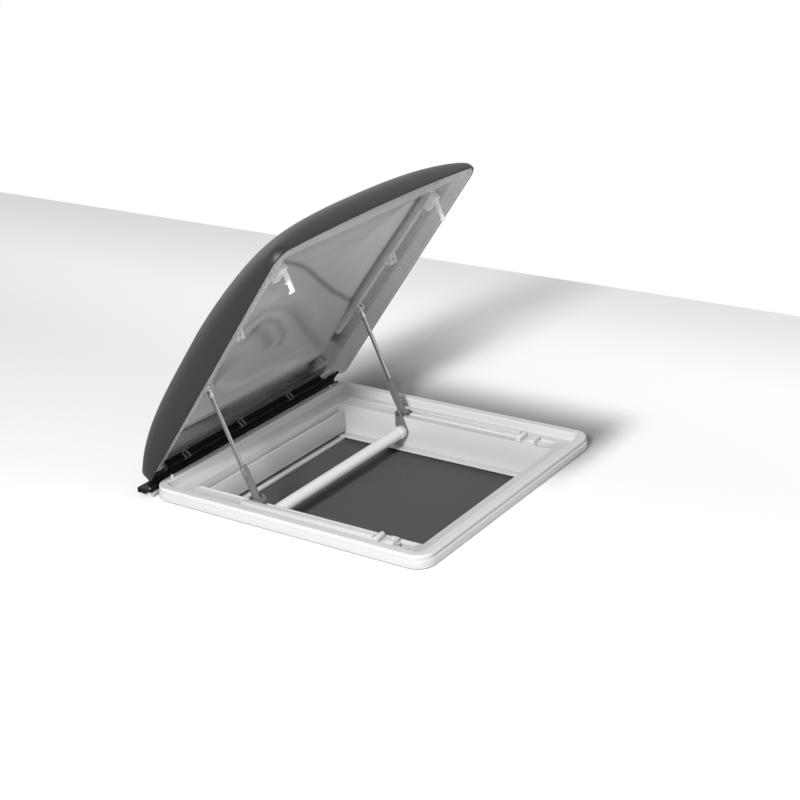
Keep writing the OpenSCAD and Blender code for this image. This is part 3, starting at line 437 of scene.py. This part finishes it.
def placed(tree, group, **values):
    """A shader group in a finish, with its own values."""
    node = tree.nodes.new("ShaderNodeGroup")
    node.node_tree = group
    for label, value in values.items():
        node.inputs[label.replace("_", " ")].default_value = value
    return node


def bump_into(tree, shader, height, distance):
    """Lets a height, of this depth in metres, show on the surface."""
    bump = tree.nodes.new("ShaderNodeBump")
    bump.inputs["Distance"].default_value = distance
    tree.links.new(height, bump.inputs["Height"])
    tree.links.new(bump.outputs["Normal"], shader.inputs["Normal"])


def moulded(name, colour, rough, mottle=0.03, spread=0.08, grain=1500, depth=0.1, metal=0.0,
            coat=0.0, alpha=1.0, shine=0.5, ribs=False):
    """A plastic, rubber or metal finish with the moulding skin on it, or with ribs."""
    finish, tree, shader = new_finish(name)
    skin = placed(tree, moulding_skin, Colour=(*colour, 1), Mottle=mottle, Roughness=rough,
                  Rough_Spread=spread, Grain_Size=grain, Grain_Depth=depth)
    tree.links.new(skin.outputs["Colour"], shader.inputs["Base Color"])
    tree.links.new(skin.outputs["Roughness"], shader.inputs["Roughness"])
    if ribs:
        bump_into(tree, shader, placed(tree, cross_ribs).outputs["Height"], RIB_DEPTH)
    else:
        bump_into(tree, shader, skin.outputs["Height"], SKIN_DEPTH)
    shader.inputs["Metallic"].default_value = metal
    shader.inputs["Coat Weight"].default_value = coat
    shader.inputs["Coat Roughness"].default_value = COAT_ROUGH
    shader.inputs["Specular IOR Level"].default_value = shine
    shader.inputs["Alpha"].default_value = alpha
    return finish


def formed_sheet(name, light, dark, rough, wave):
    """A formed clear sheet whose tone, painted on it with its painted reflections and shade, says
    where it looks light or dark.
    """
    finish, tree, shader = new_finish(name)
    mark, depth = tree.nodes.new("ShaderNodeAttribute"), tree.nodes.new("ShaderNodeAttribute")
    mark.attribute_name, depth.attribute_name = "tone", "solid"
    sheet = placed(tree, sheet_tone, Light=(*light, 1), Dark=(*dark, 1))
    tree.links.new(mark.outputs["Fac"], sheet.inputs["Tone"])
    tree.links.new(sheet.outputs["Colour"], shader.inputs["Base Color"])
    bump_into(tree, shader, sheet.outputs["Height"], wave)
    shader.inputs["Roughness"].default_value = rough
    shader.inputs["Coat Weight"].default_value = SHEET_COAT
    shader.inputs["Coat Roughness"].default_value = SHEET_COAT_ROUGH
    tree.links.new(depth.outputs["Fac"], shader.inputs["Alpha"])
    return finish


def woven(name, thread, hole, pitch, rough, height):
    """A net or cloth of crossed threads, with holes or shade between them."""
    finish, tree, shader = new_finish(name)
    weave = placed(tree, plain_weave, Thread=(*thread, 1), Hole=(*hole, 1), Pitch=pitch)
    tree.links.new(weave.outputs["Colour"], shader.inputs["Base Color"])
    bump_into(tree, shader, weave.outputs["Height"], height)
    shader.inputs["Roughness"].default_value = rough
    shader.inputs["Sheen Weight"].default_value = CLOTH_SHEEN
    return finish


white_moulding = moulded("white_moulding", (0.6, 0.6, 0.61), 0.34, mottle=0.015)
white_rail = moulded("white_rail_plastic", (0.68, 0.68, 0.69), 0.34, mottle=0.02)
latch_white = moulded("latch_plastic", (0.93, 0.93, 0.94), 0.32, mottle=0.02)
# The lid rails: the same white plastic as the frame, painted much lighter to make up for the shade
# under the open lid
lid_rail_lightened = moulded("lid_rail_plastic_lightened", (0.95, 0.95, 0.96), 0.36, ribs=True)
seal_rubber = moulded("seal_rubber", (0.66, 0.66, 0.665), 0.45, mottle=0.03, grain=2500)
black_rubber = moulded("gasket_rubber", (0.03, 0.03, 0.03), 0.7, depth=0.3)
hinge_black = moulded("hinge_black", (0.004, 0.004, 0.0045), 0.5, mottle=0.0, grain=900,
                      shine=0.15)
foot_grey = moulded("foot_grey", (0.15, 0.15, 0.155), 0.45, mottle=0.1, grain=1800, depth=0.35)
block_grey = moulded("end_block_grey", (0.42, 0.42, 0.42), 0.5)
steel_wire = moulded("pin_steel", (0.4, 0.4, 0.41), 0.28, metal=1.0, grain=700)
zinc_plate = moulded("zinc_plate", (0.62, 0.63, 0.65), 0.36, metal=1.0, mottle=0.2, grain=90,
                     depth=0.2)
drawn_tube = moulded("drawn_roller", (0.72, 0.72, 0.73), 0.3, metal=1.0, grain=500)
polished_rod = moulded("polished_rod", (0.22, 0.22, 0.225), 0.1, mottle=0.02, spread=0.05,
                       metal=1.0, grain=900, depth=0.05)
powder_white = moulded("powder_coat", (0.8, 0.8, 0.81), 0.36, mottle=0.01, grain=1100, depth=0.25)
collar_white = moulded("collar_plastic", (0.66, 0.66, 0.67), 0.35)
brush_pile = moulded("brush_pile", (0.26, 0.245, 0.23), 0.9, mottle=0.3, grain=2200, depth=1.2)
clip_clear = moulded("clear_clip", (0.3, 0.3, 0.32), 0.14, mottle=0.0, depth=0.02, coat=0.5,
                     alpha=0.6)
dome_tint = moulded("smoked_dome", (0.017, 0.016, 0.0175), 0.42, mottle=0.0, spread=0.04,
                    grain=60, depth=0.02, shine=0.35)
# The dome's inner faces: the same smoked sheet, painted light to stand in for the daylight coming
# through it
dome_inner_painted_light = moulded("inner_dome_painted_light", (0.9, 0.885, 0.91), 0.35, mottle=0.03, spread=0.04,
                      grain=60, depth=0.02)
pane_tint = formed_sheet("smoked_pane", (0.83, 0.805, 0.835), (0.03, 0.03, 0.032), 0.2, 0.002)
rim_tint = moulded("smoked_rim", (0.92, 0.905, 0.93), 0.25, mottle=0.02, grain=60, depth=0.02,
                   alpha=0.26)
screen_net = woven("screen_net", (0.032, 0.032, 0.0325), (0.02, 0.02, 0.02), 1400, 0.8, 0.00005)
blind_cloth = woven("blind_cloth", (0.62, 0.62, 0.6), (0.5, 0.5, 0.48), 1100, 0.8, 0.0001)

FINISH = {
    "roof_frame": white_moulding, "roof_gasket": black_rubber, "lip_seal": seal_rubber,
    "hinge_base": hinge_black, "hinge_pin": steel_wire, "guide_rail_left": white_rail,
    "guide_rail_right": white_rail, "rail_stop_left": white_rail, "rail_stop_right": white_rail,
    "catch_block_left": white_rail, "catch_block_right": white_rail,
    "rear_fascia": white_moulding, "corner_pegs": white_rail, "hinge_end_blocks": block_grey,
    "ceiling_frame": white_moulding, "clamp_plates": zinc_plate, "clamp_screws": steel_wire,
    "track_left": white_moulding, "track_right": white_moulding,
    "screen_cassette": white_moulding, "screen_roller": drawn_tube, "insect_screen": screen_net,
    "blind_end_strip": white_moulding, "blackout_blind": blind_cloth,
    "screen_bar": white_moulding, "screen_bar_brush": brush_pile, "blind_bar": white_moulding,
    "blind_bar_grip": white_rail, "outer_dome": dome_tint, "inner_pane": pane_tint,
    "lid_rim": rim_tint, "lid_hinge_profile": hinge_black, "pane_clips": clip_clear,
    "lid_rail_left": lid_rail_lightened, "lid_rail_right": lid_rail_lightened, "mid_hook_left": latch_white,
    "mid_hook_right": latch_white, "latch_bracket_left": latch_white,
    "latch_bracket_right": latch_white, "latch_screws": steel_wire, "stay_top_pins": steel_wire,
    "stay_rod_left": polished_rod, "stay_rod_right": polished_rod,
    "stay_top_end_left": steel_wire, "stay_top_end_right": steel_wire,
    "stay_foot_left": foot_grey, "stay_foot_right": foot_grey, "carriage_left": foot_grey,
    "carriage_right": foot_grey, "carriage_pin_left": steel_wire,
    "carriage_pin_right": steel_wire, "bow_tube": powder_white, "bow_collars": collar_white,
    "bow_bracket_left": foot_grey, "bow_bracket_right": foot_grey,
}


def paint(piece, finish):
    piece.data.materials.clear()
    piece.data.materials.append(finish)


def body_of(node):
    return nodes[node]["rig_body"]


def stand_for(piece, *named):
    """The piece takes the place, body and finish of these nodes."""
    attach(piece, body_of(named[0]))
    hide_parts(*named)
    if not piece.data.materials:
        paint(piece, FINISH[named[0]])


# Mouldings with soft edges

# Radius of the edges, in millimetres
SOFT_EDGES = {
    "roof_frame": 0.8, "rear_fascia": 0.6, "guide_rail_left": 0.5, "guide_rail_right": 0.5,
    "rail_stop_left": 0.5, "rail_stop_right": 0.5, "catch_block_left": 0.6,
    "catch_block_right": 0.6, "track_left": 0.4, "track_right": 0.4, "screen_bar": 0.5,
    "blind_bar": 0.5, "ceiling_frame": 0.8, "screen_cassette": 0.4, "blind_end_strip": 0.4,
    "blind_bar_grip": 0.5, "hinge_base": 0.4, "lid_hinge_profile": 0.4, "hinge_end_blocks": 0.5,
    "lid_rail_left": 0.6, "lid_rail_right": 0.6, "mid_hook_left": 0.4, "mid_hook_right": 0.4,
    "latch_bracket_left": 0.5, "latch_bracket_right": 0.5, "stay_top_end_left": 0.5,
    "stay_top_end_right": 0.5, "stay_foot_left": 0.6, "stay_foot_right": 0.6,
    "carriage_left": 0.4, "carriage_right": 0.4, "bow_bracket_left": 0.6,
    "bow_bracket_right": 0.6, "bow_collars": 0.3,
}
# Points nearer than this, in metres, are one, and faces within this many degrees are flat
SAME_POINT, FLAT = 0.00002, 1
MOULDING_SHARP, MOULDING_SMOOTH = 35, 40


def softened(node, radius):
    """A copy of a node's mesh with its doubles merged and its edges rounded."""
    piece = nodes[node].copy()
    piece.data = nodes[node].data.copy()
    piece.name = node + "_moulding"
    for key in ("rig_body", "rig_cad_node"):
        if key in piece:
            del piece[key]
    piece.parent = None
    bpy.context.scene.collection.objects.link(piece)
    piece.data.materials.clear()
    open_mesh(piece)
    bpy.ops.mesh.remove_doubles(threshold=SAME_POINT)
    bpy.ops.mesh.dissolve_limited(angle_limit=math.radians(FLAT))
    close_mesh()
    round_edges(piece, radius, MOULDING_SHARP)
    shade_smooth(piece, MOULDING_SMOOTH)
    stand_for(piece, node)


# The two skins of the lid, in millimetres: HX half across, S along the lid from the hinge and
# U above it, R a corner's radius, T a wall

RIM_HX, RIM_S0, RIM_S1, RIM_BOW, RIM_R, RIM_U = 259, 5.7, 524.5, 12, 30, 1.3
RIM_MID = (RIM_S0 + RIM_S1) / 2
RIM_HALF = (RIM_S1 - RIM_S0) / 2

DOME_GRID, DOME_H, DOME_T = 96, 96.4, 4
# Powers of the dome's crown: towards the sides, the front and the hinge, and of all three
CROWN_SIDE, CROWN_FRONT, CROWN_REAR, CROWN_ROUND = 2.9, 1.5, 4.53, 0.37
# Powers by which the dome's grid gathers towards its edge, and its crown turns down there
GRID_GATHER, TURN_POWER, TURN_ROUND = 1.8, 120, 0.2
# The dome's rear edge is lifted onto the hinge profile's plate: the plate's height, where the lift
# starts in from the sides and over what run, where it ends along the lid and over what run, and
# the power that keeps it to the edge
PLATE_U, LIFT_IN, LIFT_RUN, LIFT_END, LIFT_FADE, LIFT_POWER = 9.2, 2, 11, 60, 20, 60
DOME_EDGE, DOME_SHARP, SKIN_SMOOTH = 0.0012, 60, 50

PANE_GRID = (150, 158)
PANE_HX, PANE_S0, PANE_S1, PANE_R, PANE_T, PANE_CROWN = 226, 27, 503, 24, 2.6, 12
# Height of the pane's flange at its rear end, and its fall towards the front
FLANGE_U, FLANGE_FALL = 14.6, 0.012
# Lower face of the lid rails, whose top the raised part of the pane rests on
RAIL_U0, RAIL_FALL, RAIL_S0, RAIL_H = 28.4, 8.4 / 342.5, 124.5, 8
# The step from the flange to the raised part: how far in from the pane's edge, and how wide
STEP_IN, STEP_RUN = 15.5, 5
# Share of the pane's crown at distances from its edge
PANE_RISE = ((36, 0), (52, 0.35), (80, 0.68), (120, 0.9), (170, 1.0))
# Slow waves of the formed sheet: height, length, and where they come in from the edge
WAVE_H, WAVE_LENGTH, WAVE_IN, WAVE_RUN, WAVE_SEED = 0.5, 120, 40, 60, 7
# How solid the flange looks, and what the raised part has on top of that, from this far in
FLANGE_SOLID, RAISED_SOLID, SOLID_IN = 0.22, 0.7, 16
# Tone of the pane, and how much darker it is painted near the hinge, as painted shade of the black
# hinge profile seen through the clear flange, up to this place and over this run
PANE_TONE, HINGE_PAINTED_DARK, HINGE_END, HINGE_RUN = 0.8, 0.3, 56, 12
# Reflections and shade lines painted in the pane: how much darker (or, below zero, lighter, as a
# painted highlight), half width, and the line in millimetres across and from the hinge. The second
# and third, along the far lid rail and along the step by the hinge, are painted shade; the others
# are painted reflections.
PANE_PAINTED_LIGHT = (
    (0.42, 5, ((-150, 432), (-100, 406), (-45, 371), (40, 304), (113, 249), (176, 208))),
    (0.62, 6, ((183, 455), (184, 400), (183, 300), (184, 210), (194, 176), (202, 134),
               (207, 100))),
    (0.62, 4, ((203, 52), (160, 44), (60, 45), (-40, 46), (-120, 50), (-185, 52))),
    (0.2, 9, ((-120, 140), (-152, 210), (-156, 253), (-143, 281), (-120, 293), (-86, 298),
              (-32, 274), (38, 218), (123, 138), (185, 85))),
    (0.26, 8, ((-101, 232), (-95, 253), (-80, 269), (-30, 240), (27, 184), (31, 157))),
    (0.3, 13, ((-96, 255), (-48, 219), (-8, 176))),
    (-0.16, 9, ((-149, 179), (-97, 121), (-39, 96), (23, 93), (121, 75))),
    (-0.1, 12, ((-130, 330), (-60, 330), (60, 240), (120, 180))),
    (0.16, 3, ((-180, 446), (0, 444), (186, 444))),
)
# A painted reflection or shade line ends at this many half widths
PAINTED_LIGHT_REACH = 2.5


def ease(t):
    t = min(1, max(0, t))
    return t * t * (3 - 2 * t)


def on_lid(x, s, u):
    """A place on the open lid, from millimetres across, along from the hinge and above it."""
    y, z = -s * MM, u * MM
    c, n = math.cos(LID_OPEN), math.sin(LID_OPEN)
    return Vector((x * MM, HINGE.y + y * c + z * n, HINGE.z - y * n + z * c))


def outline_point(a, b, hx, hy, r):
    """A point of a square's edge carried to the edge of a rounded rectangle."""
    q = Vector((a * hx, b * hy))
    inner = Vector((min(hx - r, max(r - hx, q.x)), min(hy - r, max(r - hy, q.y))))
    away = q - inner
    return inner + away.normalized() * r if away.length > TINY else q


def rim_bow(x):
    """How far the rim's front edge bows out there."""
    return RIM_BOW * (1 - (x / RIM_HX) ** 2)


def crown_height(x, s):
    """Height of the dome above its rim."""
    side = min(1, abs(x / RIM_HX))
    along = s - RIM_MID
    front = min(1, max(0, along / (RIM_HALF + rim_bow(x))))
    rear = min(1, max(0, -along / RIM_HALF))
    share = (1 - side ** CROWN_SIDE) * (1 - front ** CROWN_FRONT) * (1 - rear ** CROWN_REAR)
    return DOME_H * share ** CROWN_ROUND


def form_dome():
    dome = unit_grid("dome_skin", DOME_GRID, DOME_GRID)
    for v in dome.data.vertices:
        a, b = v.co.x, v.co.y
        t = max(abs(a), abs(b))
        k = 1 - (1 - t) ** GRID_GATHER
        if t < TINY:
            v.co = on_lid(0, RIM_MID, RIM_U + DOME_H)
            continue
        edge = outline_point(a / t, b / t, RIM_HX, RIM_HALF, RIM_R)
        px, ps = edge.x, RIM_MID - edge.y
        if ps > RIM_MID:
            ps += rim_bow(px)
        x, s = px * k, RIM_MID + (ps - RIM_MID) * k
        lift = ((PLATE_U - RIM_U) * ease((RIM_HX - LIFT_IN - abs(px)) / LIFT_RUN)
                * ease((LIFT_END - ps) / LIFT_FADE))
        rise = crown_height(x, s) * (1 - k ** TURN_POWER) ** TURN_ROUND if k < 1 else 0
        v.co = on_lid(x, s, RIM_U + lift * k ** LIFT_POWER + rise)
    dome.data.materials.append(dome_tint)
    # The inner faces take the painted light finish
    dome.data.materials.append(dome_inner_painted_light)
    give_wall(dome, DOME_T, side=-1, inner_finish=1)
    open_mesh(dome)
    bpy.ops.mesh.normals_make_consistent(inside=False)
    close_mesh()
    round_edges(dome, DOME_EDGE, DOME_SHARP)
    shade_smooth(dome, SKIN_SMOOTH)
    stand_for(dome, "outer_dome")


def rise_at(d):
    """Share of the pane's crown at a distance from its edge."""
    if d <= PANE_RISE[0][0]:
        return 0.0
    for (d0, r0), (d1, r1) in zip(PANE_RISE, PANE_RISE[1:]):
        if d < d1:
            return r0 + (r1 - r0) * (d - d0) / (d1 - d0)
    return 1.0


def distance_to(line, x, s):
    """Distance in the pane's plane from a place to a line of points."""
    best = math.inf
    for (x0, s0), (x1, s1) in zip(line, line[1:]):
        dx, ds = x1 - x0, s1 - s0
        f = min(1, max(0, ((x - x0) * dx + (s - s0) * ds) / (dx * dx + ds * ds)))
        best = min(best, math.hypot(x - x0 - f * dx, s - s0 - f * ds))
    return best


def tone_and_painted_light_at(x, s):
    """How light the pane looks at a place, with its painted shade by the hinge and its painted
    reflections and shade lines.
    """
    tone = PANE_TONE - HINGE_PAINTED_DARK * ease((HINGE_END - s) / HINGE_RUN)
    for depth, half, line in PANE_PAINTED_LIGHT:
        away = distance_to(line, x, s) / half
        if away < PAINTED_LIGHT_REACH:
            tone -= depth * math.exp(-away * away)
    return min(1, max(0, tone))


def form_pane():
    pane = unit_grid("pane_skin", *PANE_GRID)
    mid, half = (PANE_S0 + PANE_S1) / 2, (PANE_S1 - PANE_S0) / 2
    tones_with_painted_light, solids = [], []
    for v in pane.data.vertices:
        a, b = v.co.x, v.co.y
        t = max(abs(a), abs(b))
        edge = outline_point(a / t, b / t, PANE_HX, half, PANE_R) if t else Vector((0, 0))
        x, y = edge.x * t, edge.y * t
        s = mid - y
        corner = Vector((max(0, abs(x) - PANE_HX + PANE_R), max(0, abs(y) - half + PANE_R)))
        d = PANE_R - corner.length if corner.length else min(PANE_HX - abs(x), half - abs(y))
        low = FLANGE_U - FLANGE_FALL * (s - PANE_S0) + PANE_T
        high = RAIL_U0 - RAIL_FALL * (s - RAIL_S0) + RAIL_H
        step, rise = ease((d - STEP_IN) / STEP_RUN), rise_at(d)
        wave = (WAVE_H * noise.noise(Vector((x, s, WAVE_SEED)) / WAVE_LENGTH)
                * ease((d - WAVE_IN) / WAVE_RUN))
        v.co = on_lid(x, s, low + (high - low) * step + PANE_CROWN * rise + wave)
        tones_with_painted_light.append(tone_and_painted_light_at(x, s))
        solids.append(FLANGE_SOLID + RAISED_SOLID * ease((d - SOLID_IN) / STEP_RUN))
    for label, values in (("tone", tones_with_painted_light), ("solid", solids)):
        mark = pane.data.attributes.new(label, "FLOAT", "POINT")
        for i, value in enumerate(values):
            mark.data[i].value = value
    give_wall(pane, PANE_T, side=1)
    shade_smooth(pane, SKIN_SMOOTH)
    stand_for(pane, "inner_pane")


# Screen, blind and brush, in millimetres

NET_GRID, NET_SAG, NET_T = (48, 54), 1.1, 0.5
BLIND_GRID, BLIND_T = 24, 0.4
# The pleats flatten over this distance from the cloth's side edges, to this share
PLEAT_EDGE, PLEAT_LEAST = 12, 0.35
CLOTH_SMOOTH = 30
# A tuft's width at its foot and tip as shares of the pitch, and how its tips are worn
TUFT_FOOT, TUFT_TIP = 0.92, 0.5
WEAR_BAND, WEAR_DEPTH, WEAR_SCALE = 0.4, 0.5, 900


def flat_grid(name, x0, x1, y0, y1, z, across, along):
    piece = unit_grid(name, across, along)
    for v in piece.data.vertices:
        v.co = Vector((x0 + (x1 - x0) * (v.co.x + 1) / 2, y0 + (y1 - y0) * (v.co.y + 1) / 2,
                       z)) * MM
    return piece


def form_insect_screen():
    """The net, drawn right across, hanging a little between the tracks."""
    half, y0, y1, z = 180, -196.1, 207.2, -52.9
    net = flat_grid("insect_net", -half, half, y0, y1, z, *NET_GRID)
    for v in net.data.vertices:
        a, b = v.co.x / (half * MM), (v.co.y / MM - y0) / (y1 - y0)
        v.co.z -= NET_SAG * MM * (1 - a ** 4) * max(0, 4 * b * (1 - b)) ** 0.5
    give_wall(net, NET_T, side=0)
    shade_smooth(net, CLOTH_SMOOTH)
    stand_for(net, "insect_screen")
    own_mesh(net)


def form_blind():
    """The blind, drawn right across: a cloth in even pleats."""
    half, y0, y1, z, folds, lift = 180, -184.4, 197.0, -59.05, 60, 0.36
    cloth = flat_grid("pleated_blind", -half, half, y0, y1, z, BLIND_GRID, folds)
    step = (y1 - y0) / folds
    for v in cloth.data.vertices:
        row = round((v.co.y / MM - y0) / step)
        edge = min(1, (half - abs(v.co.x) / MM) / PLEAT_EDGE)
        share = PLEAT_LEAST + (1 - PLEAT_LEAST) * edge
        v.co.z += lift * MM * (1 if row % 2 else -1) * share
    give_wall(cloth, BLIND_T, side=0)
    shade_smooth(cloth, CLOTH_SMOOTH)
    stand_for(cloth, "blackout_blind")
    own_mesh(cloth)


def form_brush():
    """The pile that closes the gap behind the screen bar: one tuft, repeated along the bar."""
    half, y0, y1, z0, z1, count = 170.4, 200.2, 211.2, -47.8, -46.2, 150
    pitch = 2 * half / count
    bpy.ops.object.select_all(action="DESELECT")
    bpy.ops.mesh.primitive_cube_add(size=1)
    pile = bpy.context.object
    pile.name = "brush_tufts"
    for v in pile.data.vertices:
        wide = TUFT_FOOT if v.co.z < 0 else TUFT_TIP
        v.co = Vector((-half + pitch / 2 + v.co.x * pitch * wide,
                       (y0 + y1) / 2 + v.co.y * (y1 - y0),
                       (z0 + z1) / 2 + v.co.z * (z1 - z0))) * MM
    open_mesh(pile)
    bpy.ops.mesh.subdivide(number_cuts=1)
    close_mesh()
    row = pile.modifiers.new("row", "ARRAY")
    row.use_relative_offset = False
    row.use_constant_offset = True
    row.constant_offset_displace = (pitch * MM, 0, 0)
    row.count = count
    apply_all(pile)
    for v in pile.data.vertices:
        if v.co.z / MM > z1 - WEAR_BAND:
            v.co.z -= WEAR_DEPTH * MM * (0.5 + 0.5 * noise.noise(v.co * WEAR_SCALE))
    stand_for(pile, "screen_bar_brush")


# Put together

set_camera()
light_studio()
lay_floor()
for name, finish in FINISH.items():
    paint(nodes[name], finish)
form_dome()
form_pane()
form_insect_screen()
form_blind()
form_brush()
for name, radius in SOFT_EDGES.items():
    softened(name, radius * MM)

bpy.context.scene.view_settings.view_transform = "Standard"
